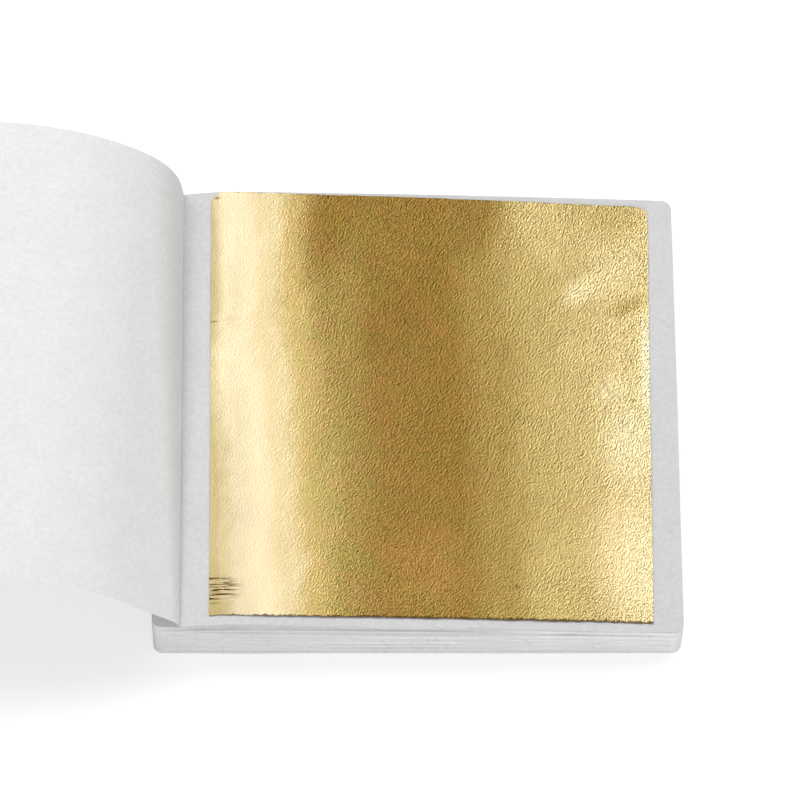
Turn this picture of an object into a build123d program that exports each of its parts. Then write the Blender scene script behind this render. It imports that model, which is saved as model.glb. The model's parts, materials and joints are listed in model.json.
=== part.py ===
"""Booklet of imitation gold leaf, open at its first leaf, with the page above that leaf turned over.

All sizes are in millimetres. The origin is the middle of the underside of the block of pages.
+X points from the spine to the fore edge, +Y to the back (the head of the pages), and +Z up.
"""
from build123d import *
import math
import os

# Paper sheets
SHEET_WIDTH = 95.0
SHEET_LENGTH = 87.5
SHEET_THICKNESS = 0.06
SHEET_CORNER_RADIUS = 1.8

# Metal leaves, which lie loose between the sheets
LEAF_COUNT = 100
LEAF_WIDTH = 80.0
LEAF_LENGTH = 85.0
LEAF_THICKNESS = 0.02
LEAF_INSET = 10.1
LEAF_HEADROOM = 0.0093

# Exposed leaf, which lies a little nearer the back and rides on its own crinkles
EXPOSED_LEAF_SHIFT = 0.4
EXPOSED_LEAF_CLEARANCE = 0.03

# Glued margin along the spine
MARGIN_WIDTH = 4.9
GLUE_THICKNESS = 0.056
GLUE_INSET = 0.4
GLUE_END_INSET = 1.2

# Creases: the clear width between the two sides of a bend
FOLD_GAP = 0.2
FLEX_GAP = 0.1

# Open page, which arches up off the block beside its margin
ARCH_RISE = 1.5
ARCH_RUN = 10.0
ARCH_START_POWER = 1.6
ARCH_END_POWER = 2.6
ARCH_FACET_SHARES = (0.0, 0.022, 0.045, 0.07, 0.1, 0.14, 0.22, 0.35, 0.5, 0.64, 0.77, 0.89, 1.0)

# Turned page: its bend lines fan out from the front end of the fold.
# Shares are of the page's free width, from the fold to the fore edge.
BEND_FRONT_SHARES = (0.0, 0.018, 0.216, 0.322, 0.438, 0.577, 0.744, 1.0)
BEND_BACK_SHARES = (0.0, 0.133, 0.25, 0.355, 0.477, 0.616, 0.777, 1.0)
BEND_DEGREES = (98.0, 42.0, 15.5, 15.5, 17.0, 11.0, 7.0)

# Groups of ten, by which the sheets, leaves and glue strips are kept
GROUP_SIZE = 10

# Values that follow from the sizes above
OPEN_PAGE_INDEX = LEAF_COUNT - 1
TURNED_PAGE_INDEX = LEAF_COUNT
FORE_PITCH = SHEET_THICKNESS + LEAF_THICKNESS + LEAF_HEADROOM
SPINE_PITCH = SHEET_THICKNESS + GLUE_THICKNESS
SPINE_X = -SHEET_WIDTH / 2
FREE_WIDTH = SHEET_WIDTH - MARGIN_WIDTH


def slope(index):
    """Fall per millimetre of sheet number index, counted from 0 at the bottom."""
    return index * (SPINE_PITCH - FORE_PITCH) / SHEET_WIDTH


def underside(index, distance):
    """Height of a sheet's lower face at a distance from the spine edge."""
    return index * SPINE_PITCH - distance * slope(index)


def upper_side(index, distance):
    """Height of a sheet's upper face at a distance from the spine edge."""
    return underside(index, distance) + SHEET_THICKNESS * math.hypot(1, slope(index))


def sheet_plane(index):
    """Plane of a sheet's lower face, with its origin in the middle of the spine edge."""
    fall = slope(index)
    return Plane(origin=(SPINE_X, 0, underside(index, 0)), x_dir=(1, 0, -fall), z_dir=(fall, 0, 1))


def sheet_outline():
    """Outline of a whole sheet, with its spine edge on the Y axis."""
    return Pos(SHEET_WIDTH / 2, 0) * RectangleRounded(SHEET_WIDTH, SHEET_LENGTH, SHEET_CORNER_RADIUS)


def prism(points, length, middle_y=0):
    """Solid with its outline in XZ, where X is the distance from the spine edge, drawn out along Y."""
    face = Plane.XZ * make_face(Polyline(*points, close=True))
    return Pos(SPINE_X, middle_y, 0) * extrude(face, amount=length / 2, both=True)


def sheet(index):
    """One flat sheet of the block, tilted by the wedge of glue below it."""
    return sheet_plane(index) * extrude(sheet_outline(), amount=SHEET_THICKNESS)


def hidden_leaf(index):
    """One leaf that lies flat on its sheet."""
    leaf = Box(LEAF_WIDTH, LEAF_LENGTH, LEAF_THICKNESS, align=(Align.MIN, Align.CENTER, Align.MIN))
    return sheet_plane(index) * Pos(LEAF_INSET, 0, SHEET_THICKNESS) * leaf


def glue_strip(index):
    """One strip of glue on the margin of a sheet, which carries the margin of the sheet above."""
    near = GLUE_INSET
    far = MARGIN_WIDTH - FOLD_GAP
    points = [
        (near, upper_side(index, near)),
        (far, upper_side(index, far)),
        (far, underside(index + 1, far)),
        (near, underside(index + 1, near)),
    ]
    return prism(points, SHEET_LENGTH - 2 * GLUE_END_INSET)


def arch_lift(run):
    """Height of the open page above the slope of the block, at a distance from its margin."""
    start = 1 - max(1 - run / ARCH_RUN, 0) ** ARCH_START_POWER
    end = 1 - (run / FREE_WIDTH) ** ARCH_END_POWER
    return ARCH_RISE * start * end


def arch_points():
    """Facet corners of the open page's lower face, from the spine edge to the fore edge."""
    points = [(0, underside(OPEN_PAGE_INDEX, 0))]
    for share in ARCH_FACET_SHARES:
        run = share * FREE_WIDTH
        distance = MARGIN_WIDTH + run
        points.append((distance, underside(OPEN_PAGE_INDEX, distance) + arch_lift(run)))
    return points


def arch_height(distance):
    """Height of the open page's faceted lower face at a distance from the spine edge."""
    points = arch_points()
    for (left, left_height), (right, right_height) in zip(points, points[1:]):
        if distance <= right:
            return left_height + (right_height - left_height) * (distance - left) / (right - left)
    return points[-1][1]


def arched_layer(start, end, lift, thickness, length, middle_y=0):
    """Thin layer that follows the open page between two distances from the spine edge."""
    inner = [distance for distance, _ in arch_points() if start < distance < end]
    distances = [start] + inner + [end]
    lower = [(distance, arch_height(distance) + lift) for distance in distances]
    upper = [(distance, height + thickness) for distance, height in reversed(lower)]
    return prism(lower + upper, length, middle_y)


def open_page():
    """The open page, which arches up beside its glued margin and comes down to the fore edge."""
    layer = arched_layer(0, SHEET_WIDTH, 0, SHEET_THICKNESS, SHEET_LENGTH)
    tallest = underside(OPEN_PAGE_INDEX, 0) + ARCH_RISE + SHEET_THICKNESS
    return layer & (Pos(SPINE_X, 0, 0) * extrude(sheet_outline(), amount=tallest))


def exposed_leaf():
    """The leaf on show, which follows the open page with a small clearance."""
    lift = SHEET_THICKNESS + EXPOSED_LEAF_CLEARANCE
    right = LEAF_INSET + LEAF_WIDTH
    return arched_layer(LEAF_INSET, right, lift, LEAF_THICKNESS, LEAF_LENGTH, EXPOSED_LEAF_SHIFT)


def turned_page_margin():
    """Glued margin of the turned page, on the top strip of glue."""
    width = MARGIN_WIDTH - FOLD_GAP / 2
    outline = sheet_outline() & (Pos(width / 2, 0) * Rectangle(width, SHEET_LENGTH))
    return sheet_plane(TURNED_PAGE_INDEX) * extrude(outline, amount=SHEET_THICKNESS)


def bend_line(number):
    """Front and back ends of a bend line on the flat page, measured from the middle of the fold."""
    front = (BEND_FRONT_SHARES[number] * FREE_WIDTH, -SHEET_LENGTH / 2, 0)
    back = (BEND_BACK_SHARES[number] * FREE_WIDTH, SHEET_LENGTH / 2, 0)
    return Vector(*front), Vector(*back)


def bend_axis(number):
    """Bend line as an axis about which a positive angle lifts the page."""
    front, back = bend_line(number)
    return Axis(back, front - back)


def flat_strip(number):
    """One strip of the turned page, laid flat, between two neighbouring bend lines."""
    near_gap = FOLD_GAP / 2 if number == 0 else FLEX_GAP / 2
    far_gap = 0 if number == len(BEND_DEGREES) - 1 else FLEX_GAP / 2
    near_front, near_back = bend_line(number)
    far_front, far_back = bend_line(number + 1)
    corners = [
        (near_front.X + near_gap, near_front.Y),
        (far_front.X - far_gap, far_front.Y),
        (far_back.X - far_gap, far_back.Y),
        (near_back.X + near_gap, near_back.Y),
    ]
    face = make_face(Polyline(*corners, close=True)) & (Pos(-MARGIN_WIDTH, 0) * sheet_outline())
    return extrude(face, amount=SHEET_THICKNESS / 2, both=True)


def turned_page_strip(number):
    """One strip of the turned page where the bends between it and the fold have carried it."""
    strip = flat_strip(number)
    for bend in range(number, -1, -1):
        strip = strip.rotate(bend_axis(bend), BEND_DEGREES[bend])
    return sheet_plane(TURNED_PAGE_INDEX) * Pos(MARGIN_WIDTH, 0, SHEET_THICKNESS / 2) * strip


def save(name, shapes):
    """Write one node as a STEP file, as one solid or as a group of separate ones."""
    solids = [solid for shape in shapes for solid in shape.solids()]
    whole = solids[0] if len(solids) == 1 else Compound(solids)
    export_step(whole, f"parts/{name}.step")


def save_groups(name, maker, count):
    """Write like pieces in groups, numbered from 1 at the bottom of the booklet."""
    for start in range(0, count, GROUP_SIZE):
        end = min(start + GROUP_SIZE, count)
        save(f"{name}_{start + 1:03d}_to_{end:03d}", [maker(index) for index in range(start, end)])


os.makedirs("parts", exist_ok=True)
save_groups("sheets", sheet, OPEN_PAGE_INDEX)
save_groups("hidden_leaves", hidden_leaf, OPEN_PAGE_INDEX)
save_groups("glue_strips", glue_strip, LEAF_COUNT)
save("open_page", [open_page()])
save("exposed_leaf", [exposed_leaf()])
save("turned_page_margin", [turned_page_margin()])
for strip_number in range(len(BEND_DEGREES)):
    save(f"turned_page_strip_{strip_number + 1:02d}", [turned_page_strip(strip_number)])
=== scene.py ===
"""Looks of an open booklet of imitation gold leaf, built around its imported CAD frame.

Lengths in the code are in millimetres, and become metres when a mesh or the camera is made.
Only the lamps are given in metres. +X points from the spine to the fore edge, +Y to the head
of the pages, and +Z up.
"""
import json
import math
import bpy
import numpy as np
from mathutils import Matrix, Vector


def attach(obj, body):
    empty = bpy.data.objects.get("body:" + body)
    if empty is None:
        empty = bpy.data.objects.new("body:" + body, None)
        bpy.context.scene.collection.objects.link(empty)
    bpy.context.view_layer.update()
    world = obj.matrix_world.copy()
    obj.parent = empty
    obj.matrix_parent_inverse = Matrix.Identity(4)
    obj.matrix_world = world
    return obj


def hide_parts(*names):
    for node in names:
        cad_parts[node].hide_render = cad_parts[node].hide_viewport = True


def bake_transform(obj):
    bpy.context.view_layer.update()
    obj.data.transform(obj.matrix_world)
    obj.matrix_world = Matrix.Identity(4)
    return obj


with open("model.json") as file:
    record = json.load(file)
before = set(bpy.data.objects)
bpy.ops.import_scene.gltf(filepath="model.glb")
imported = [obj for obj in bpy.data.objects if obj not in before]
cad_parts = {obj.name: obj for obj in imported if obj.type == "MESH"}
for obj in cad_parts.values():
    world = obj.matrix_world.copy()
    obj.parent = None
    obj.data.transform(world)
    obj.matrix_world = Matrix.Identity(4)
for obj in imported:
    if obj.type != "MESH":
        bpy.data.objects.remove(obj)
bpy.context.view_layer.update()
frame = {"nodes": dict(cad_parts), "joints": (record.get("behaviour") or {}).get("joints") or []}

MM = 0.001

# Sizes that the CAD source holds too
SHEET_WIDTH = 95.0
SHEET_LENGTH = 87.5
SHEET_THICKNESS = 0.06
CORNER_RADIUS = 1.8
LEAF_COUNT = 100
LEAF_WIDTH = 80.0
LEAF_LENGTH = 85.0
LEAF_THICKNESS = 0.02
LEAF_INSET = 10.1
LEAF_HEADROOM = 0.0093
LEAF_SHIFT = 0.4
LEAF_CLEARANCE = 0.03
MARGIN_WIDTH = 4.9
GLUE_THICKNESS = 0.056
ARCH_RISE = 1.5
ARCH_RUN = 10.0
ARCH_START_POWER = 1.6
ARCH_END_POWER = 2.6
GROUP_SIZE = 10

# Values that follow from the sizes above
OPEN_PAGE_INDEX = LEAF_COUNT - 1
FORE_PITCH = SHEET_THICKNESS + LEAF_THICKNESS + LEAF_HEADROOM
SPINE_PITCH = SHEET_THICKNESS + GLUE_THICKNESS
SPINE_X = -SHEET_WIDTH / 2
FREE_WIDTH = SHEET_WIDTH - MARGIN_WIDTH
HALF_LENGTH = SHEET_LENGTH / 2
LEAF_LEFT = SPINE_X + LEAF_INSET
LEAF_MIDDLE = LEAF_LEFT + LEAF_WIDTH / 2
LEAF_FRONT = LEAF_SHIFT - LEAF_LENGTH / 2
LEAF_BACK = LEAF_SHIFT + LEAF_LENGTH / 2

# How far in from a sheet's edge its rows are squeezed, where its rounded corners shorten them
CORNER_REACH = 4.0
# Rows across a page between its rounded corners
PAGE_ROWS = 30


# ---------------------------------------------------------------- mesh helpers

def new_object(name, points, faces, material, sharp_degrees=35.0, attributes=()):
    """Mesh object from points in millimetres, with smooth shading between its sharp edges."""
    mesh = bpy.data.meshes.new(name)
    mesh.from_pydata((np.asarray(points, float) * MM).tolist(), [], faces)
    mesh.materials.append(material)
    for label, kind, values in attributes:
        layer = mesh.attributes.new(label, kind, "POINT")
        key = "vector" if kind == "FLOAT_VECTOR" else "value"
        layer.data.foreach_set(key, np.asarray(values, np.float32).ravel())
    mesh.update()
    mesh.shade_smooth()
    mesh.set_sharp_from_angle(angle=math.radians(sharp_degrees))
    obj = bpy.data.objects.new(name, mesh)
    bpy.context.scene.collection.objects.link(obj)
    return obj


def layer_mesh(middle, normal, thickness, flat):
    """Closed thin layer about a grid of points, as points, faces and the flat place of each point."""
    rows, columns = middle.shape[:2]
    offset = normal * (thickness / 2)
    points = np.concatenate([(middle + offset).reshape(-1, 3), (middle - offset).reshape(-1, 3)])
    count = rows * columns
    index = np.arange(count).reshape(rows, columns)
    a, b = index[:-1, :-1].ravel(), index[:-1, 1:].ravel()
    c, d = index[1:, 1:].ravel(), index[1:, :-1].ravel()
    faces = np.stack([a, b, c, d], 1).tolist()
    faces += (np.stack([d, c, b, a], 1) + count).tolist()
    rim = np.concatenate([index[0, :-1], index[:-1, -1], index[-1, :0:-1], index[:0:-1, 0]])
    after = np.roll(rim, -1)
    faces += np.stack([after, rim, rim + count, after + count], 1).tolist()
    return points, faces, np.concatenate([flat.reshape(-1, 3)] * 2)


def corner_steps(radius, steps=6):
    """Distances from a straight edge at which rows cross a rounded corner."""
    return [radius * (1 - math.sin(math.radians(90 * k / steps))) for k in range(steps + 1)]


def row_places(length, radius, inner):
    """Places of the rows across a rounded sheet, close together in its corners."""
    half = length / 2
    end = [half - s for s in corner_steps(radius)]
    middle = np.linspace(-end[0], end[0], inner + 1)[1:-1].tolist()
    return np.array([-e for e in reversed(end)] + middle + end)


def corner_cut(y, half, radius):
    """How much shorter a row is at a rounded corner."""
    over = np.clip(np.abs(y) - (half - radius), 0, radius)
    return radius - np.sqrt(np.maximum(radius ** 2 - over ** 2, 0))


def unit(vectors):
    """Vectors with their lengths made 1."""
    return vectors / np.linalg.norm(vectors, axis=-1, keepdims=True)


def grid_normals(points):
    """Upward normals of a grid of points."""
    across = np.gradient(points, axis=1)
    along = np.gradient(points, axis=0)
    return unit(np.cross(across, along))


def smooth_step(x, low, high):
    """0 at low, 1 at high, and a smooth rise between them."""
    t = np.clip((np.asarray(x, float) - low) / (high - low), 0, 1)
    return t * t * (3 - 2 * t)


def bump_window(x, low, high, soft):
    """1 between low and high, falling to 0 over soft at each side."""
    return smooth_step(x, low - soft, low) * (1 - smooth_step(x, high, high + soft))


class Waves:
    """Smooth random numbers over a plane, the same in each run."""

    def __init__(self, seed, size=64):
        self.values = np.random.RandomState(seed).uniform(-1, 1, (size, size))
        self.size = size

    def __call__(self, x, y):
        x, y = np.broadcast_arrays(np.asarray(x, float), np.asarray(y, float))
        x0, y0 = np.floor(x).astype(int), np.floor(y).astype(int)
        fx, fy = x - x0, y - y0
        fx, fy = fx * fx * (3 - 2 * fx), fy * fy * (3 - 2 * fy)
        v, n = self.values, self.size
        near = v[x0 % n, y0 % n] * (1 - fx) + v[(x0 + 1) % n, y0 % n] * fx
        far = v[x0 % n, (y0 + 1) % n] * (1 - fx) + v[(x0 + 1) % n, (y0 + 1) % n] * fx
        return near * (1 - fy) + far * fy


# ------------------------------------------------------------ node materials

class Material:
    """A node material, built a few nodes at a time."""

    def __init__(self, name):
        self.material = bpy.data.materials.new(name)
        self.material.use_nodes = True
        self.tree = self.material.node_tree
        self.shader = self.tree.nodes["Principled BSDF"]

    def node(self, kind, links=None, values=None, **settings):
        """New node with its settings, plain input values and linked inputs."""
        made = self.tree.nodes.new(kind)
        for key, value in settings.items():
            setattr(made, key, value)
        for key, value in (values or {}).items():
            made.inputs[key].default_value = value
        for key, source in (links or {}).items():
            self.tree.links.new(source, made.inputs[key])
        return made

    def link(self, source, target):
        self.tree.links.new(source, target)

    def math(self, operation, first, second=None, clamp=False):
        """Result of a sum on one or two values, each a socket or a number."""
        made = self.tree.nodes.new("ShaderNodeMath")
        made.operation = operation
        made.use_clamp = clamp
        for socket, value in zip(made.inputs, (first, second)):
            if value is None:
                continue
            if isinstance(value, (int, float)):
                socket.default_value = value
            else:
                self.link(value, socket)
        return made.outputs[0]

    def millimetres(self, attribute=None):
        """The piece's own coordinates, in millimetres."""
        if attribute:
            return self.node("ShaderNodeAttribute", attribute_name=attribute).outputs["Vector"]
        source = self.node("ShaderNodeTexCoord").outputs["Object"]
        scaled = self.node("ShaderNodeVectorMath", {0: source}, operation="SCALE")
        scaled.inputs["Scale"].default_value = 1 / MM
        return scaled.outputs[0]

    def lean(self, vector, degrees):
        """Coordinates turned about Z."""
        turned = self.node("ShaderNodeVectorRotate", {"Vector": vector},
                           {"Angle": math.radians(degrees)}, rotation_type="Z_AXIS")
        return turned.outputs[0]

    def shift(self, vector, offset):
        """Coordinates moved by an offset."""
        moved = self.node("ShaderNodeVectorMath", {0: vector}, {1: offset}, operation="ADD")
        return moved.outputs[0]

    def noise(self, vector, scale, detail=2.0, roughness=0.5, stretch=None, distortion=0.0):
        """Noise from 0 to 1 with features about 1/scale millimetres wide."""
        if stretch:
            vector = self.node("ShaderNodeMapping", {"Vector": vector}, {"Scale": stretch}).outputs[0]
        values = {"Scale": scale, "Detail": detail, "Roughness": roughness, "Distortion": distortion}
        return self.node("ShaderNodeTexNoise", {"Vector": vector}, values).outputs["Fac"]

    def spread(self, value, low, high, to_low=0.0, to_high=1.0, smooth=True):
        """Map a value from one range to another, held at the ends."""
        values = {"From Min": low, "From Max": high, "To Min": to_low, "To Max": to_high}
        kind = "SMOOTHSTEP" if smooth else "LINEAR"
        return self.node("ShaderNodeMapRange", {"Value": value}, values, interpolation_type=kind).outputs[0]

    def sway(self, noise, size):
        """Noise from 0 to 1, turned into a sway of at most half of size to each side of 0."""
        return self.math("MULTIPLY", self.math("SUBTRACT", noise, 0.5), size)

    def ramp(self, value, stops):
        """Colour between the nearest two of some stops, each with its place and colour."""
        made = self.node("ShaderNodeValToRGB", {"Fac": value})
        band = made.color_ramp
        band.interpolation = "EASE"
        while len(band.elements) < len(stops):
            band.elements.new(0.5)
        for element, (place, colour) in zip(band.elements, stops):
            element.position = place
            element.color = (*colour, 1)
        return made.outputs["Color"]

    def mix(self, factor, first, second, blend="MIX"):
        """Blend of two colours, each a socket or a plain colour."""
        made = self.node("ShaderNodeMix", data_type="RGBA", blend_type=blend)
        sockets = (made.inputs["Factor"], made.inputs[6], made.inputs[7])
        for socket, value in zip(sockets, (factor, first, second)):
            if isinstance(value, (int, float)):
                socket.default_value = value
            elif isinstance(value, tuple):
                socket.default_value = (*value, 1)
            else:
                self.link(value, socket)
        return made.outputs[2]

    def brighten(self, colour, factor):
        """A colour times a factor."""
        factors = self.node("ShaderNodeCombineColor", {0: factor, 1: factor, 2: factor}).outputs[0]
        return self.mix(1.0, colour, factors, "MULTIPLY")

    def bump(self, height, strength, distance):
        """Relief from a height of 0 to 1, with its distance in millimetres."""
        values = {"Strength": strength, "Distance": distance * MM}
        return self.node("ShaderNodeBump", {"Height": height}, values).outputs["Normal"]

    def finish(self, colour, roughness, normal, **values):
        """The material, with its shader's colour, roughness and relief linked and other values set."""
        self.link(colour, self.shader.inputs["Base Color"])
        self.link(roughness, self.shader.inputs["Roughness"])
        self.link(normal, self.shader.inputs["Normal"])
        for key, value in values.items():
            self.shader.inputs[key].default_value = value
        return self.material


def grey(value, warmth=0.0):
    """Plain grey, or with warmth a little redder and less blue."""
    return (value * (1 + warmth), value, value * (1 - warmth))


# Width of the paper's relief, and how far its cloud, mottle and fibre sway its tone
PAPER_RELIEF = 0.035
CLOUD_SWAY = (-0.012, 0.012)
MOTTLE_SWAY = (-0.035, 0.03)
FIBRE_SWAY = (-0.012, 0.012)


def paper_material(name, tone, attribute=None, edge_flecks_and_shade=False):
    """Thin white interleaf paper with mottled fibre grain and a few specks."""
    m = Material(name)
    place = m.millimetres(attribute)
    cloud = m.noise(place, 0.16, detail=3.0, roughness=0.55)
    mottle = m.noise(place, 1.1, detail=4.0, roughness=0.62, distortion=0.4)
    fibre = m.noise(place, 1.6, detail=3.0, roughness=0.6, stretch=(0.45, 2.4, 1.0), distortion=0.8)
    shade = m.math("ADD", m.spread(cloud, 0.3, 0.7, *CLOUD_SWAY), m.spread(mottle, 0.3, 0.7, *MOTTLE_SWAY))
    shade = m.math("ADD", shade, m.spread(fibre, 0.35, 0.65, *FIBRE_SWAY))
    colour = m.mix(m.math("ADD", shade, 0.5), grey(tone - 0.5), grey(tone + 0.5))
    speck = m.noise(place, 1.3, detail=1.0, roughness=0.4)
    colour = m.mix(m.spread(speck, 0.80, 0.83, 0.0, 0.45), colour, grey(tone * 0.45, 0.05))
    if edge_flecks_and_shade:
        # The tone attribute darkens the sheet edges with random streaks, and with painted shade under the
        # open page's arch and along an open gap
        tint = m.node("ShaderNodeAttribute", attribute_name="tone").outputs["Fac"]
        colour = m.mix(tint, colour, grey(0.32, 0.01))
        fleck = m.noise(place, 0.55, stretch=(0.9, 0.9, 3.2))
        dust = m.noise(place, 1.5, stretch=(0.8, 0.8, 2.0))
        dirt = m.math("MULTIPLY", m.spread(fleck, 0.49, 0.62), m.spread(dust, 0.64, 0.71, 0.0, 0.52))
        colour = m.mix(dirt, colour, grey(0.25, 0.04))
    relief = m.math("ADD", m.math("MULTIPLY", mottle, 0.6), m.math("MULTIPLY", fibre, 0.5))
    normal = m.bump(relief, 0.35, PAPER_RELIEF)
    rough = m.spread(mottle, 0.3, 0.7, 0.62, 0.78)
    return m.finish(colour, rough, normal, **{"Specular IOR Level": 0.25})


def glue_material():
    """Padding glue, dried to a dull white skin with small beads."""
    m = Material("dried_padding_glue")
    lump = m.noise(m.millimetres(), 0.8, detail=3.0, roughness=0.55)
    colour = m.mix(m.spread(lump, 0.3, 0.7), grey(0.60, 0.02), grey(0.72, 0.012))
    rough = m.spread(lump, 0.3, 0.7, 0.35, 0.6)
    return m.finish(colour, rough, m.bump(lump, 0.5, 0.08), **{"Specular IOR Level": 0.4})


# Grain of the leaf: the turn of its strokes, its scale, its stretch along and across a stroke,
# and the step between the two heights whose difference is its slant
GRAIN_TURN = -62
GRAIN_SCALE = 2.9
GRAIN_STRETCH = (0.78, 1.18, 1.0)
GRAIN_STEP = (0, 0.10, 0)
# How much the slant paints shade and light on the colour, the relief's height, and the light lost to the
# relief, which is painted back into the colour
GRAIN_SHADE = 4.8
GRAIN_HEIGHT = 0.25
GRAIN_LOSS = 0.20

# Colours of the hidden leaves, and cooler and warmer tints in the shown leaf's dark middle
HIDDEN_GOLD = ((0.62, 0.43, 0.15), (0.80, 0.60, 0.26))
TINTS = ((0.96, 1.015, 0.95), (1.05, 0.98, 1.02))
# Colour of the shown leaf's dark streaks, front edge and marks, and of the painted shade along its back
# edge
TARNISH_AND_SHADE = (0.055, 0.031, 0.011)

# The shown leaf's bands of painted reflection: how far they lean per millimetre, as a share of the leaf's
# width, and how far they wander in broad and in small waves
BAND_LEAN = 0.0007
BAND_WANDER = 0.11
BAND_WOBBLE = 0.03

# Painted reflections across the shown leaf, as light and dark bands of colour from the fold's side to the
# fore edge's side
PAINTED_REFLECTION_BANDS = (
    (0.0, (0.39, 0.315, 0.16)),
    (0.018, (0.46, 0.385, 0.215)),
    (0.055, (0.64, 0.535, 0.345)),
    (0.10, (0.745, 0.60, 0.385)),
    (0.155, (0.60, 0.485, 0.27)),
    (0.215, (0.42, 0.31, 0.115)),
    (0.29, (0.275, 0.19, 0.055)),
    (0.40, (0.225, 0.136, 0.032)),
    (0.54, (0.22, 0.131, 0.029)),
    (0.64, (0.285, 0.195, 0.056)),
    (0.77, (0.39, 0.295, 0.108)),
    (0.86, (0.44, 0.335, 0.140)),
    (0.93, (0.50, 0.385, 0.175)),
    (1.0, (0.53, 0.405, 0.19)),
)

# Painted reflections on the shown leaf, as lighter and darker patches: middle, size, turn, colour and
# largest share
PAINTED_REFLECTION_PATCHES = (
    ((-14.6, 41.0), (7.6, 23.0), -12, (0.215, 0.128, 0.028), 0.95),
    ((-3.0, 19.0), (7.0, 18.0), -30, (0.20, 0.118, 0.026), 0.7),
    ((10.5, 40.0), (7.5, 15.0), -6, (0.215, 0.13, 0.03), 0.85),
    ((-36.6, -41.0), (4.5, 3.6), 25, (0.30, 0.235, 0.08), 0.5),
    ((-37.2, -33.0), (3.0, 3.4), 0, (0.36, 0.28, 0.11), 0.5),
    ((-37.6, 30.0), (3.0, 24.0), 0, (0.35, 0.27, 0.118), 0.75),
    ((-16.0, -14.0), (5.0, 28.0), 2, (0.33, 0.25, 0.08), 0.6),
    ((3.0, -34.0), (13.0, 14.0), 0, (0.27, 0.16, 0.043), 0.7),
    ((25.0, -34.0), (8.0, 15.0), 0, (0.43, 0.335, 0.13), 0.6),
    ((23.0, 39.0), (6.5, 16.0), 14, (0.47, 0.365, 0.158), 0.85),
    ((36.0, 40.0), (9.5, 7.0), 8, (0.37, 0.285, 0.105), 0.8),
    ((36.5, 28.5), (10.0, 5.5), 35, (0.56, 0.44, 0.22), 0.85),
    ((30.2, 24.2), (5.6, 3.2), 42, (0.63, 0.50, 0.27), 0.9),
    ((38.6, 21.2), (6.5, 2.4), 27, (0.34, 0.255, 0.09), 0.85),
    ((31.0, 12.0), (7.0, 7.0), 30, (0.47, 0.365, 0.155), 0.6),
    ((42.4, 8.0), (2.4, 18.0), 0, (0.74, 0.615, 0.37), 0.95),
    ((36.3, 4.4), (6.6, 3.9), 38, (0.62, 0.495, 0.27), 0.75),
    ((40.0, -7.0), (9.5, 13.0), 0, (0.66, 0.535, 0.30), 0.85),
    ((41.0, -31.0), (12.0, 20.0), 6, (0.68, 0.54, 0.30), 0.9),
)

# Small dark marks of the shown leaf: middle, size and largest share
MARKS = (
    ((17.7, -35.6), (0.75, 0.75), 0.65),
    ((-37.1, 16.8), (1.9, 0.28), 0.7),
    ((-36.4, 42.4), (0.9, 0.5), 0.7),
    ((33.8, 14.3), (0.5, 0.4), 0.3),
)
# How much the shown leaf's back edge, with the painted shade along it, falls towards its right end, per
# millimetre
BACK_EDGE_FALL = 0.0194


def leaf_material(name, shown):
    """Brass leaf with a fine leathery grain and painted shade and light on the slant of each stroke; the
    one on show has painted reflections in wide bands and patches, small dark marks and painted shade along
    its back edge.
    """
    m = Material(name)
    place = m.millimetres()
    split = m.node("ShaderNodeSeparateXYZ", {0: place})
    x, y = split.outputs["X"], split.outputs["Y"]
    stroke = m.lean(place, GRAIN_TURN)
    grain, beside = (
        m.noise(start, GRAIN_SCALE, stretch=GRAIN_STRETCH, distortion=0.4)
        for start in (stroke, m.shift(stroke, GRAIN_STEP)))
    slant = m.math("SUBTRACT", grain, beside)
    cloud = m.noise(m.lean(place, 28), 0.05, detail=3.0, roughness=0.6, stretch=(1.6, 0.5, 1.0))
    across = m.math("DIVIDE", m.math("SUBTRACT", x, LEAF_LEFT), LEAF_WIDTH)
    across = m.math("ADD", across, m.math("MULTIPLY", y, BAND_LEAN))
    if shown:
        calm_left, calm_front = m.spread(across, 0.13, 0.30, 0.22, 1.0), m.spread(y, -30.0, 0.0, 0.75, 1.0)
        strength = m.math("MULTIPLY", calm_left, calm_front)
        wobble = m.noise(place, 0.35, detail=3.0, roughness=0.6)
        across = m.math("ADD", across, m.sway(cloud, BAND_WANDER))
        across = m.math("ADD", across, m.sway(wobble, BAND_WOBBLE))
        colour = painted_reflections(m, place, x, y, across)
    else:
        strength = 1.0
        colour = m.mix(m.spread(cloud, 0.3, 0.7), *HIDDEN_GOLD)
    # Painted shade and light on the slant of each grain stroke, and painted light that makes up for the
    # light lost to the relief
    shade = m.math("ADD", 1.0, m.math("MULTIPLY", m.math("MULTIPLY", slant, strength), GRAIN_SHADE))
    regained = m.math("ADD", 1.0, m.math("MULTIPLY", m.math("POWER", strength, 4.0), GRAIN_LOSS))
    colour = m.brighten(colour, m.math("MULTIPLY", shade, regained))
    if shown:
        colour = tarnish_and_edge_shade(m, colour, place, x, y)
    normal = m.bump(m.math("MULTIPLY", grain, strength), 1.0, GRAIN_HEIGHT)
    rough = m.spread(across, 0.08, 0.25, 0.46, 0.30)
    return m.finish(colour, rough, normal, Metallic=1.0)


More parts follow.
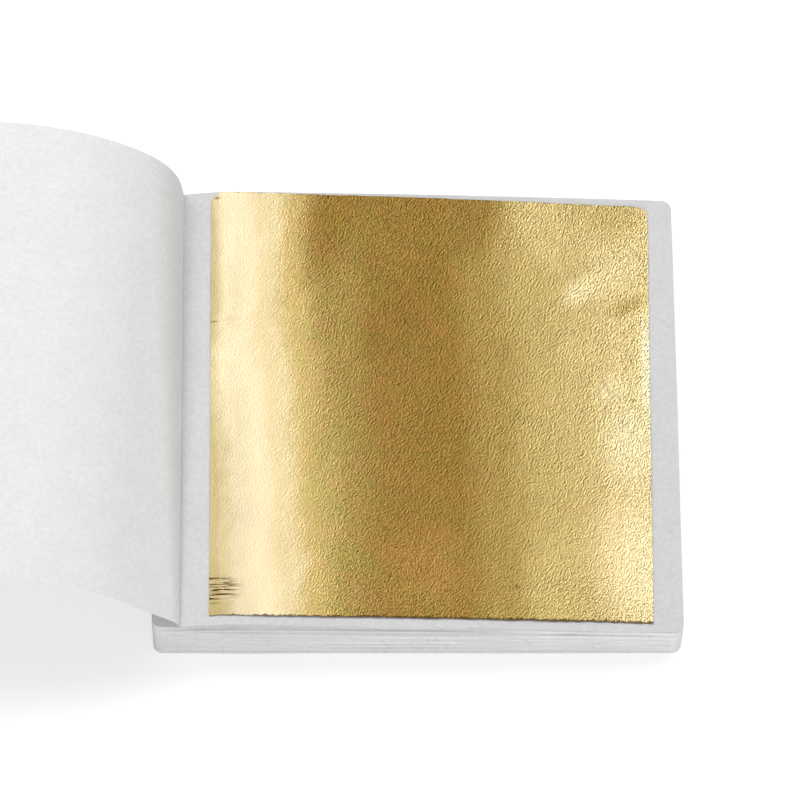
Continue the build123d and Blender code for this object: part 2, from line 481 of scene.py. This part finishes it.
def painted_reflections(m, place, x, y, across):
    """Painted reflections of the shown leaf: its light and dark bands and patches, with tints in its dark
    middle.
    """
    colour = m.ramp(across, PAINTED_REFLECTION_BANDS)
    for centre, size, turn, tone, most in PAINTED_REFLECTION_PATCHES:
        share = spot(m, x, y, centre, size, 0.8, turn)
        colour = m.mix(m.math("MULTIPLY", share, most), colour, tone)
    hue = m.noise(m.lean(place, 35), 0.16, detail=3.0, roughness=0.6, stretch=(0.6, 1.3, 1.0))
    tint = m.mix(m.spread(hue, 0.38, 0.62), *TINTS)
    core = m.math("MULTIPLY", m.spread(across, 0.16, 0.26), m.spread(across, 0.52, 0.72, 1.0, 0.2))
    return m.mix(core, colour, m.mix(1.0, colour, tint, "MULTIPLY"))


def spot(m, x, y, centre, size, soft=1.0, turn=0):
    """1 at a place on the leaf, falling to 0 at an ellipse round it."""
    dx, dy = m.math("SUBTRACT", x, centre[0]), m.math("SUBTRACT", y, centre[1])
    if turn:
        cos, sin = math.cos(math.radians(turn)), math.sin(math.radians(turn))
        dx, dy = (m.math("ADD", m.math("MULTIPLY", dx, cos), m.math("MULTIPLY", dy, sin)),
                  m.math("SUBTRACT", m.math("MULTIPLY", dy, cos), m.math("MULTIPLY", dx, sin)))
    dx, dy = m.math("DIVIDE", dx, size[0]), m.math("DIVIDE", dy, size[1])
    reach = m.math("SQRT", m.math("ADD", m.math("MULTIPLY", dx, dx), m.math("MULTIPLY", dy, dy)))
    return m.spread(reach, 1 - soft, 1.0, 1.0, 0.0)


def tarnish_and_edge_shade(m, colour, place, x, y):
    """Dark streaks at a corner, a thin dark front edge, painted shade in a thin line along the back edge,
    and small dark marks.
    """
    streak = m.noise(place, 0.9, detail=3.0, roughness=0.6, stretch=(0.22, 3.4, 1.0), distortion=0.5)
    where = spot(m, x, y, (LEAF_LEFT - 0.4, LEAF_FRONT + 5.3), (7.5, 3.9), 0.6)
    dark = m.math("MULTIPLY", where, m.spread(streak, 0.48, 0.53))
    speck = m.noise(place, 1.4)
    low = m.math("SUBTRACT", y, m.math("MULTIPLY", speck, 1.1))
    front = m.spread(low, LEAF_FRONT - 0.42, LEAF_FRONT - 0.12, 0.85, 0.0)
    dark = m.math("MAXIMUM", dark, front)
    # Painted shade in a thin line along the back edge
    level = m.math("ADD", y, m.math("MULTIPLY", m.math("SUBTRACT", x, LEAF_MIDDLE), BACK_EDGE_FALL))
    high = m.math("ADD", level, m.math("MULTIPLY", speck, 0.9))
    back = m.spread(high, LEAF_BACK + 0.25, LEAF_BACK + 0.55, 0.0, 0.5)
    dark = m.math("MAXIMUM", dark, back)
    for centre, size, most in MARKS:
        dark = m.math("MAXIMUM", dark, m.math("MULTIPLY", spot(m, x, y, centre, size), most))
    return m.mix(dark, colour, TARNISH_AND_SHADE)


# ------------------------------------------------------------ block of sheets

def slope(index):
    """Fall per millimetre of sheet number index, counted from 0 at the bottom."""
    return index * (SPINE_PITCH - FORE_PITCH) / SHEET_WIDTH


def underside(index, distance):
    """Height of a sheet's lower face at a distance from the spine edge."""
    return index * SPINE_PITCH - distance * slope(index)


# Random waves for the sheets' edges at the front, right and back, their tones and their lift
edge_waves = [Waves(seed) for seed in (3, 5, 8)]
tone_waves = Waves(13)
lift_waves = [Waves(seed) for seed in (21, 34)]

# Width of a sheet's modelled rim, how much its edge is thickened so that no gap shows through,
# the share of an open gap that it fills, and the lowest sheet whose rim follows the arch
RIM_DEPTH = 1.05
EDGE_FUZZ = 0.011
GAP_FILL = 0.36
ARCH_LOWEST = 72

# Gaps that stand a little open at the front: level, size, and their low, high and soft ends along X
GAPS = ((79, 0.10, 24, 40, 7), (55, 0.06, 4, 12, 5), (34, 0.05, -30, -8, 6))


def edge_reach(index, along, side):
    """How far a sheet's edge stands proud of the block, at a place along that side."""
    group = edge_waves[side](index / 6.5 + 7 * side, along / 26)
    single = edge_waves[side](index * 0.97 + 31, along / 15)
    return 0.075 * group + 0.035 * single


def recess(index, x):
    """How far the top sheets sit back at the front, under the arch of the open page."""
    depth = smooth_step(index, 82, 98)
    return 0.10 * depth * bump_window(x, -38, 6, 12)


def spread_gap(index, x, level, size, low, high, soft):
    """Lift that opens one gap in the block between two sheets and closes its neighbours up."""
    reach = 12.0
    above = np.clip(1 - (index - level) / reach, 0, 1) if index >= level else 0.0
    below = np.clip(1 - (level - index) / reach, 0, 1) if index < level else 0.0
    return size * (above - below) * bump_window(x, low, high, soft)


def arch_follow(index):
    """Share of the open page's arch that a sheet's front rim follows."""
    return max(index - ARCH_LOWEST, 0) / (OPEN_PAGE_INDEX - ARCH_LOWEST)


def rim_lift(index, x):
    """How far a sheet's front rim is bent up or down."""
    sway = 0.06 * lift_waves[0](index / 22, x / 22) + 0.004 * lift_waves[1](index / 3.1, x / 9)
    lift = sway * smooth_step(x, SPINE_X + 2, SPINE_X + 12) * smooth_step(index, 0, 8)
    lift = lift * (1 - smooth_step(index, 92, 98))
    lift += arch_follow(index) * arch_lift(x - SPINE_X - MARGIN_WIDTH)
    for gap in GAPS:
        lift += spread_gap(index, x, *gap)
    return lift


def outline_places():
    """Places round a sheet, each with its outward direction and side: 0 front, 1 right, 2 back, 3 spine."""
    w, h, r = SHEET_WIDTH / 2, HALF_LENGTH, CORNER_RADIUS
    sides = (
        ((-w + r, -h), (w - r, -h), 110, (0, -1), 0),
        ((w, -h + r), (w, h - r), 48, (1, 0), 1),
        ((w - r, h), (-w + r, h), 60, (0, 1), 2),
        ((-w, h - r), (-w, -h + r), 24, (-1, 0), 3),
    )
    corners = (((w - r, -h + r), -90), ((w - r, h - r), 0), ((-w + r, h - r), 90), ((-w + r, -h + r), 180))
    places = []
    for (start, end, steps, out, side), (centre, angle) in zip(sides, corners):
        for k in range(steps + 1):
            t = k / steps
            x, y = start[0] + (end[0] - start[0]) * t, start[1] + (end[1] - start[1]) * t
            places.append((x, y, *out, side))
        for k in range(1, 6):
            turn = math.radians(angle + 90 * k / 6)
            out = (math.cos(turn), math.sin(turn))
            places.append((centre[0] + r * out[0], centre[1] + r * out[1], *out, side))
    return np.array(places)


PLACES = outline_places()


def edge_tone(index, x, front):
    """Darkness round a sheet: soft streaks, and at the front painted shade under the arch of the open page
    and along an open gap.
    """
    streaks = tone_waves(index * 1.31, x / 34) * 0.5 + tone_waves(index / 5.3 + 17, x / 40 + 5) * 0.5
    # Painted shade under the arch of the open page, and along an open gap between sheets
    painted_arch_shade = 0.16 * smooth_step(index, 71, 77) * bump_window(x, -36, 12, 12)
    painted_gap_shade = 0.30 * math.exp(-((index - 82) / 2.0) ** 2) * bump_window(x, 26, 44, 6)
    painted_gap_shade = painted_gap_shade * np.clip(0.8 + tone_waves(index * 0.9 + 40, x / 2.1), 0, 1.5)
    return np.clip(0.03 + 0.09 * streaks + (painted_arch_shade + painted_gap_shade) * front, 0, 1)


def block_sheet(index):
    """One sheet with a slightly uneven rim, as points, faces and the tone of each point, painted shade
    included.
    """
    x, y, out_x, out_y, side = PLACES.T
    reach = np.zeros(len(x))
    for number in range(3):
        along = y if number == 1 else x
        reach = np.where(side == number, edge_reach(index, along, number), reach)
    corner = smooth_step(np.abs(x), SHEET_WIDTH / 2, SHEET_WIDTH / 2 - 4)
    corner = np.where(side == 1, smooth_step(np.abs(y), HALF_LENGTH, HALF_LENGTH - 4), corner)
    reach = reach * (0.35 + 0.65 * corner)
    front = np.clip(-out_y, 0, 1)
    reach = reach - recess(index, x) * front
    lift = rim_lift(index, x) * front * smooth_step(np.abs(x), SHEET_WIDTH / 2 + 0.1, SHEET_WIDTH / 2 - 6)
    outer = np.stack([x + out_x * reach, y + out_y * reach, lift], 1)
    inner = np.stack([x - out_x * RIM_DEPTH, y - out_y * RIM_DEPTH, np.zeros(len(x))], 1)
    rings = []
    for ring in (inner, outer):
        base = underside(index, ring[:, 0] - SPINE_X) + ring[:, 2]
        rings.append(np.stack([ring[:, 0], ring[:, 1], base], 1))
    up, fuzz = np.array([0, 0, SHEET_THICKNESS]), np.array([0, 0, EDGE_FUZZ])
    loose = (arch_follow(index + 1) - arch_follow(index)) * arch_lift(x - SPINE_X - MARGIN_WIDTH) * front
    fuzz = fuzz * (1 + GAP_FILL * loose / EDGE_FUZZ)[:, None]
    points = np.concatenate([rings[0], rings[1] - fuzz, rings[1] + up + fuzz, rings[0] + up])
    n = len(x)
    ids = np.arange(n)
    after = np.roll(ids, -1)
    faces = [list(range(n - 1, -1, -1)), list(range(3 * n, 4 * n))]
    for low, high in ((0, n), (n, 2 * n), (2 * n, 3 * n)):
        faces += np.stack([ids + low, after + low, after + high, ids + high], 1).tolist()
    return points, faces, np.tile(edge_tone(index, x, front), 4)


def sheet_group(first, last, material):
    """Wavy sheets in place of one group of flat ones."""
    points, faces, tones, count = [], [], [], 0
    for index in range(first, last):
        sheet_points, sheet_faces, sheet_tones = block_sheet(index)
        points.append(sheet_points)
        tones.append(sheet_tones)
        faces += [[corner + count for corner in face] for face in sheet_faces]
        count += len(sheet_points)
    name = f"sheets_{first + 1:03d}_to_{last:03d}"
    tone = ("tone", "FLOAT", np.concatenate(tones))
    obj = new_object(f"wavy_{name}", np.concatenate(points), faces, material,
                     sharp_degrees=30.0, attributes=[tone])
    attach(obj, "block")
    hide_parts(name)


# ---------------------------------------------------- open page and shown leaf

def arch_lift(run):
    """Height of the open page above the slope of the block, at a distance from its margin."""
    run = np.clip(run, 0, FREE_WIDTH)
    start = 1 - np.maximum(1 - run / ARCH_RUN, 0) ** ARCH_START_POWER
    end = 1 - (run / FREE_WIDTH) ** ARCH_END_POWER
    return ARCH_RISE * start * end


def open_page_under(distance):
    """Height of the open page's lower face at a distance from the spine edge."""
    return underside(OPEN_PAGE_INDEX, distance) + arch_lift(distance - MARGIN_WIDTH)


def make_open_page(material):
    """The open page, a whole sheet that arches up beside its glued margin."""
    y = row_places(SHEET_LENGTH, CORNER_RADIUS, PAGE_ROWS)
    far = SHEET_WIDTH - CORNER_REACH
    spread = np.concatenate([
        np.linspace(0, CORNER_REACH, 5), [4.6, MARGIN_WIDTH], np.linspace(MARGIN_WIDTH + 0.3, 20, 34),
        np.linspace(22, far, 36), np.linspace(far + 1, SHEET_WIDTH, 7)])
    distance, rows = np.meshgrid(spread, y)
    cut = corner_cut(rows, HALF_LENGTH, CORNER_RADIUS)
    near_side = cut + distance * (CORNER_REACH - cut) / CORNER_REACH
    far_side = far + (distance - far) * (SHEET_WIDTH - cut - far) / (SHEET_WIDTH - far)
    distance = np.where(distance < CORNER_REACH, near_side, np.where(distance > far, far_side, distance))
    ripple = 0.04 * Waves(55)(distance / 17, rows / 19)
    ripple = ripple * smooth_step(distance, 9, 22) * smooth_step(SHEET_WIDTH - distance, 0.5, 9)
    height = open_page_under(distance) + SHEET_THICKNESS / 2 + ripple
    middle = np.stack([distance + SPINE_X, rows, height], 2)
    flat = np.stack([distance, rows, rows * 0], 2)
    points, faces, flat = layer_mesh(middle, grid_normals(middle), SHEET_THICKNESS, flat)
    place = ("flat_place", "FLOAT_VECTOR", flat)
    obj = new_object("open_page_sheet", points, faces, material, sharp_degrees=40.0, attributes=[place])
    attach(obj, "block")
    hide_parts("open_page")


# The shown leaf's turn in radians, and how far its lowest crinkles stand above its clearance
LEAF_TURN = -0.0079
LEAF_LIFT = 0.04

# Creases of the shown leaf: start, end, width and height
CREASES = (
    ((22.5, 22.0), (38.5, 30.5), 2.6, 0.34),
    ((24.0, 20.0), (34.0, 21.5), 2.2, -0.10),
    ((30.0, 6.0), (40.5, -2.0), 2.6, 0.26),
    ((33.0, -10.0), (41.0, -16.5), 2.8, 0.20),
    ((-36.5, 16.8), (-31.5, 16.6), 0.45, 0.10),
    ((15.5, 33.0), (21.5, 41.0), 2.4, 0.22),
    ((-3.0, 42.0), (-5.0, 24.0), 4.5, 0.25),
    ((20.0, -28.0), (33.0, -36.0), 3.6, 0.22),
)
# Middle of a small dent with a raised ring
DENT = (17.7, -35.6)


def ridge(x, y, start, end, width):
    """A soft crease between two points, 1 on its line and fading out over its width and at its ends."""
    s, e = np.array(start), np.array(end)
    d = e - s
    t = np.clip(((x - s[0]) * d[0] + (y - s[1]) * d[1]) / (d @ d), 0, 1)
    away = np.hypot(x - s[0] - d[0] * t, y - s[1] - d[1] * t)
    ends = np.sin(np.pi * np.clip(t, 0.02, 0.98)) ** 0.7
    return np.exp(-(away / width) ** 2) * ends


def leaf_relief(x, y):
    """Height of the shown leaf's crinkles, always above its page."""
    broad = 0.10 * (1 + Waves(61)(x / 19, y / 23))
    crinkle = 0.022 * (1 + Waves(62)(x / 2.3, y / 2.6)) + 0.010 * (1 + Waves(63, 256)(x / 0.95, y / 0.95))
    relief = broad + crinkle
    for start, end, width, size in CREASES:
        relief = relief + size * ridge(x, y, start, end, width)
    away = np.hypot(x - DENT[0], y - DENT[1])
    relief = relief + 0.05 * np.exp(-((away - 0.65) / 0.22) ** 2) - 0.03 * np.exp(-(away / 0.4) ** 2)
    return np.maximum(relief, 0.0)


def cut_leaf(a, b):
    """Flat places on the leaf after its uneven cut: frayed edges, clipped corners and skewed sides."""
    half_w, half_l = LEAF_WIDTH / 2, LEAF_LENGTH / 2
    ragged = Waves(71, 128)
    fray = 0.09 * ragged(a / 1.1, 0.3) + 0.07 * ragged(a / 3.7, 9.3)
    b = b + fray * smooth_step(-b, half_l - 1.2, half_l)
    b = b + 0.05 * ragged(a / 2.3, 40.1) * smooth_step(b, half_l - 1.0, half_l)
    sides = smooth_step(a, half_w - 1, half_w) + smooth_step(-a, half_w - 1, half_w)
    a = a + 0.05 * ragged(b / 2.1, 21.7) * sides
    corner = smooth_step(b, half_l - 1.8, half_l) * smooth_step(-a, half_w - 1.8, half_w)
    a, b = a + 0.75 * corner, b - 0.75 * corner
    corner = smooth_step(b, half_l - 1.8, half_l) * smooth_step(a, half_w - 2.2, half_w)
    a, b = a - 0.2 * corner, b - 0.65 * corner
    at_left, at_right = (half_w - a) / LEAF_WIDTH, (half_w + a) / LEAF_WIDTH
    at_back, at_front = (half_l + b) / LEAF_LENGTH, (half_l - b) / LEAF_LENGTH
    cut_a = at_left * (0.48 * at_front - 0.37 * at_back) + at_right * (0.09 * at_back - 0.22 * at_front)
    cut_b = at_back * (0.45 * at_left - 0.47 * at_right) + at_front * (0.16 * at_right - 0.18 * at_left)
    return a + cut_a, b + cut_b


def make_leaf(material):
    """The shown leaf, crinkled and loose on the arch of the open page."""
    across = np.linspace(-LEAF_WIDTH / 2, LEAF_WIDTH / 2, 201)
    along = np.linspace(-LEAF_LENGTH / 2, LEAF_LENGTH / 2, 213)
    a, b = cut_leaf(*np.meshgrid(across, along))
    x = LEAF_MIDDLE + a * math.cos(LEAF_TURN) - b * math.sin(LEAF_TURN)
    y = LEAF_SHIFT + a * math.sin(LEAF_TURN) + b * math.cos(LEAF_TURN)
    page = open_page_under(x - SPINE_X) + SHEET_THICKNESS + LEAF_CLEARANCE + LEAF_LIFT
    height = page + leaf_relief(x, y) + LEAF_THICKNESS / 2
    middle = np.stack([x, y, height], 2)
    flat = np.stack([a, b, a * 0], 2)
    points, faces, flat = layer_mesh(middle, grid_normals(middle), LEAF_THICKNESS, flat)
    place = ("flat_place", "FLOAT_VECTOR", flat)
    obj = new_object("crinkled_gold_leaf", points, faces, material, sharp_degrees=60.0, attributes=[place])
    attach(obj, "exposed_leaf")
    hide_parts("exposed_leaf")


# --------------------------------------------------------------- turned page

# Turned page: for each bend, its line's distance from the fold at the front and back edges,
# half the width over which it is spread at each, its degrees and its number of steps
BENDS = (
    (0.0, 0.0, 0.12, 0.12, 98.07, 8),
    (1.6, 10.55, 1.4, 7.05, 42.18, 12),
    (19.5, 22.5, 4.7, 4.7, 15.26, 8),
    (29.0, 32.0, 4.7, 4.7, 15.67, 8),
    (39.5, 43.0, 5.2, 5.5, 17.42, 8),
    (52.0, 55.5, 6.2, 6.2, 11.0, 8),
    (67.0, 70.0, 7.5, 7.2, 7.0, 8),
)
# Lines between the bends, front and back, at which one piece of the page meets the next
SEAMS = ((0.667, 5.85), (10.55, 17.25), (24.25, 27.25), (34.25, 37.5), (45.75, 49.25), (59.5, 62.75))
# Widest gap between two columns of the page, and how near to the fold its margin stays whole
COLUMN_GAP = 2.5
FOLD_CLEAR = 1.0


def rotation(axis, degrees):
    """Matrix of a turn about an axis through the origin."""
    return np.array(Matrix.Rotation(math.radians(degrees), 3, Vector(axis)))


def page_frame():
    """Turn and place that carry the flat turned page to the top of the block."""
    fall = slope(LEAF_COUNT)
    size = math.hypot(1, fall)
    turn = np.array([[1 / size, 0, fall / size], [0, 1, 0], [-fall / size, 0, 1 / size]])
    corner = np.array([SPINE_X, 0, LEAF_COUNT * SPINE_PITCH])
    return turn, corner + turn @ np.array([MARGIN_WIDTH, 0, SHEET_THICKNESS / 2])


def fine_lines():
    """The many narrow bend lines of the page, in order, with the turn and place after each."""
    turn, place = page_frame()
    lines, frames = [], [(turn, place)]
    for front, back, front_half, back_half, degrees, steps in BENDS:
        for k in range(steps):
            q = 2 * (k + 0.5) / steps - 1
            f, b = front + q * front_half, back + q * back_half
            start, end = np.array([f, -HALF_LENGTH, 0]), np.array([b, HALF_LENGTH, 0])
            step = rotation(start - end, degrees / steps)
            place = place + turn @ (start - step @ start)
            turn = turn @ step
            lines.append((f, b))
            frames.append((turn, place))
    return lines, frames


def page_columns(start, end, lines):
    """Columns of a piece of the page: front and back places, and the bend line on it, if any."""
    columns = [(*start, None)]
    columns += [(f, b, k) for k, (f, b) in enumerate(lines) if start[0] < f < end[0]]
    columns.append((*end, None))
    filled = []
    for first, second in zip(columns, columns[1:]):
        filled.append(first)
        gap = max(second[0] - first[0], second[1] - first[1])
        extra = int(gap // COLUMN_GAP)
        for k in range(1, extra + 1):
            t = k / (extra + 1)
            front, back = (near + (far - near) * t for near, far in zip(first[:2], second[:2]))
            filled.append((front, back, None))
    return filled + [columns[-1]]


def page_piece(number, start, end, lines, frames, material):
    """One piece of the turned page, from seam to seam, with its bend in the middle."""
    y = row_places(SHEET_LENGTH, CORNER_RADIUS, PAGE_ROWS)
    share = (y + HALF_LENGTH) / SHEET_LENGTH
    columns = page_columns(start, end, lines)
    middle = np.zeros((len(y), len(columns), 3))
    normal, flat = np.zeros_like(middle), np.zeros_like(middle)
    cut = corner_cut(y, HALF_LENGTH, CORNER_RADIUS)
    passed = sum(1 for f, _ in lines if f <= start[0])
    for c, (front, back, line) in enumerate(columns):
        s = front + (back - front) * share
        if number == 0 and front < -FOLD_CLEAR:
            s = s + cut * (-FOLD_CLEAR - s) / (MARGIN_WIDTH - FOLD_CLEAR)
        if number == len(BENDS) - 1 and front > FREE_WIDTH - CORNER_REACH:
            s = s - cut * (s - FREE_WIDTH + CORNER_REACH) / CORNER_REACH
        before = frames[passed]
        if line is not None:
            passed = line + 1
        after = frames[passed]
        flat[:, c] = np.stack([s, y, y * 0], 1)
        middle[:, c] = flat[:, c] @ after[0].T + after[1]
        normal[:, c] = unit(before[0][:, 2] + after[0][:, 2])
    points, faces, flat = layer_mesh(middle, normal, SHEET_THICKNESS, flat)
    place = ("flat_place", "FLOAT_VECTOR", flat)
    return new_object(f"turned_page_bend_{number}", points, faces, material,
                      sharp_degrees=50.0, attributes=[place])


def make_turned_page(material):
    """The turned page, as pieces from seam to seam, each with one bend."""
    lines, frames = fine_lines()
    starts = ((-MARGIN_WIDTH, -MARGIN_WIDTH),) + SEAMS
    ends = SEAMS + ((FREE_WIDTH, FREE_WIDTH),)
    joints = {joint["child"]: joint for joint in frame["joints"]}
    bodies = ["block"] + [f"page_strip_{k:02d}" for k in range(1, len(BENDS) + 1)]
    total = 0
    for number, (start, end) in enumerate(zip(starts, ends)):
        obj = page_piece(number, start, end, lines, frames, material)
        joint = joints[bodies[number + 1]]
        centre, axis = np.array(joint["pos_m"]), unit(np.array(joint["axis"]))
        before = frames[total][0][:, 0]
        *_, steps = BENDS[number]
        total += steps
        after = frames[total][0][:, 0]
        across = before + after
        across = unit(across - axis * (across @ axis))
        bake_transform(obj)
        nodes = [f"turned_page_strip_{number + 1:02d}"]
        if number == 0:
            nodes.append("turned_page_margin")
        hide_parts(*nodes)


# ------------------------------------------------------------------- staging

# Floor: half its width, its level, its colour, and the glow that makes it white to the camera
FLOOR_HALF_WIDTH = 6000.0
FLOOR_LEVEL = -0.02
FLOOR_COLOUR = (0.75, 0.75, 0.75)
FLOOR_GLOW = 0.48

# Lamps: name, direction from the booklet as turn and height in degrees, distance, size and power
LAMPS = (
    ("left_softbox", (-42, 58), 1.2, (0.6, 0.6), 5.1),
    ("right_softbox", (52, 54), 1.2, (0.5, 0.5), 2.84),
    ("back_softbox", (24, 44), 1.2, (0.35, 0.35), 1.6),
    ("front_softbox", (185, 16), 1.8, (1.2, 0.7), 12.0),
)
WORLD_STRENGTH = 0.38

# The photograph's camera, as fitted to the booklet's edges: height, turn and roll in degrees,
# the place on the floor in the middle of the picture, and the distance from there
CAMERA_HEIGHT = 63.5762
CAMERA_TURN = 1.8091
CAMERA_ROLL = 1.5927
CAMERA_AIM = (44.706 + SPINE_X, 7.089, 0.0)
CAMERA_DISTANCE = 1091.73
CAMERA_SENSOR = 36.0
CAMERA_LENS = 267.57


def make_floor():
    """Wide pale floor, lit up for the camera and reflections only, which keeps the booklet's shadow."""
    m = Material("pale_floor")
    path = m.node("ShaderNodeLightPath").outputs
    seen = m.math("ADD", path["Is Camera Ray"], path["Is Glossy Ray"], clamp=True)
    seen = m.math("ADD", seen, path["Is Transmission Ray"], clamp=True)
    for key, value in (
        ("Base Color", (*FLOOR_COLOUR, 1)), ("Roughness", 0.9),
        ("Specular IOR Level", 0.0), ("Emission Color", (1, 1, 1, 1)),
    ):
        m.shader.inputs[key].default_value = value
    m.link(m.math("MULTIPLY", seen, FLOOR_GLOW), m.shader.inputs["Emission Strength"])
    half = FLOOR_HALF_WIDTH
    points = [(x, y, FLOOR_LEVEL) for x, y in ((-half, -half), (half, -half), (half, half), (-half, half))]
    new_object("floor", points, [[0, 1, 2, 3]], m.material)


def make_lamp(name, towards, distance, size, power):
    """Soft rectangular lamp that shines on the booklet."""
    turn, height = (math.radians(degrees) for degrees in towards)
    flat = math.cos(height)
    direction = Vector((math.sin(turn) * flat, math.cos(turn) * flat, math.sin(height)))
    lamp = bpy.data.lights.new(name, "AREA")
    lamp.shape = "RECTANGLE"
    lamp.size, lamp.size_y = size
    lamp.energy = power
    obj = bpy.data.objects.new(name, lamp)
    obj.location = direction * distance
    obj.rotation_euler = (-direction).to_track_quat("-Z", "Y").to_euler()
    bpy.context.scene.collection.objects.link(obj)


def make_light():
    """White surroundings and the lamps."""
    world = bpy.data.worlds.new("soft_white")
    bpy.context.scene.world = world
    world.use_nodes = True
    background = world.node_tree.nodes["Background"]
    background.inputs["Color"].default_value = (1, 1, 1, 1)
    background.inputs["Strength"].default_value = WORLD_STRENGTH
    for lamp in LAMPS:
        make_lamp(*lamp)


def make_camera():
    """Camera at the photograph's viewing angle, with its roll."""
    height, turn, roll = (math.radians(degrees) for degrees in (CAMERA_HEIGHT, CAMERA_TURN, CAMERA_ROLL))
    flat = math.cos(height)
    forward = np.array([math.sin(turn) * flat, math.cos(turn) * flat, -math.sin(height)])
    right = np.array([math.cos(turn), -math.sin(turn), 0.0])
    up = np.cross(right, forward)
    right, up = (math.cos(roll) * right + math.sin(roll) * up, math.cos(roll) * up - math.sin(roll) * right)
    camera = bpy.data.cameras.new("camera")
    camera.sensor_width, camera.lens = CAMERA_SENSOR, CAMERA_LENS
    camera.clip_start, camera.clip_end = 0.05, 50.0
    obj = bpy.data.objects.new("camera", camera)
    place = Matrix(np.stack([right, up, -forward], 1).tolist()).to_4x4()
    place.translation = Vector((np.array(CAMERA_AIM) - CAMERA_DISTANCE * forward) * MM)
    obj.matrix_world = place
    bpy.context.scene.collection.objects.link(obj)
    bpy.context.scene.camera = obj


bpy.context.scene.view_settings.view_transform = "Standard"
make_camera()
make_light()
make_floor()

# One paper in three tones of painted light and shade: the sheet edges lightest, making up for the dark gaps
# between sheets, the turned page lighter, and the open page darker
lit_edge_paper = paper_material("paper_sheet_edges_lit", tone=0.94, edge_flecks_and_shade=True)
shaded_open_paper = paper_material("paper_open_page_shaded", attribute="flat_place", tone=0.685)
lit_page_paper = paper_material("paper_turned_page_lit", attribute="flat_place", tone=0.86)
shown_gold = leaf_material("brass_leaf_shown", True)
hidden_gold = leaf_material("brass_leaf_hidden", False)
glue = glue_material()

for first_sheet in range(0, OPEN_PAGE_INDEX, GROUP_SIZE):
    sheet_group(first_sheet, min(first_sheet + GROUP_SIZE, OPEN_PAGE_INDEX), lit_edge_paper)
make_open_page(shaded_open_paper)
make_leaf(shown_gold)
make_turned_page(lit_page_paper)

for name, node in frame["nodes"].items():
    if name.startswith("glue_strips"):
        chosen = glue
    elif name.startswith("hidden_leaves"):
        chosen = hidden_gold
    else:
        chosen = lit_page_paper
    node.data.materials.clear()
    node.data.materials.append(chosen)
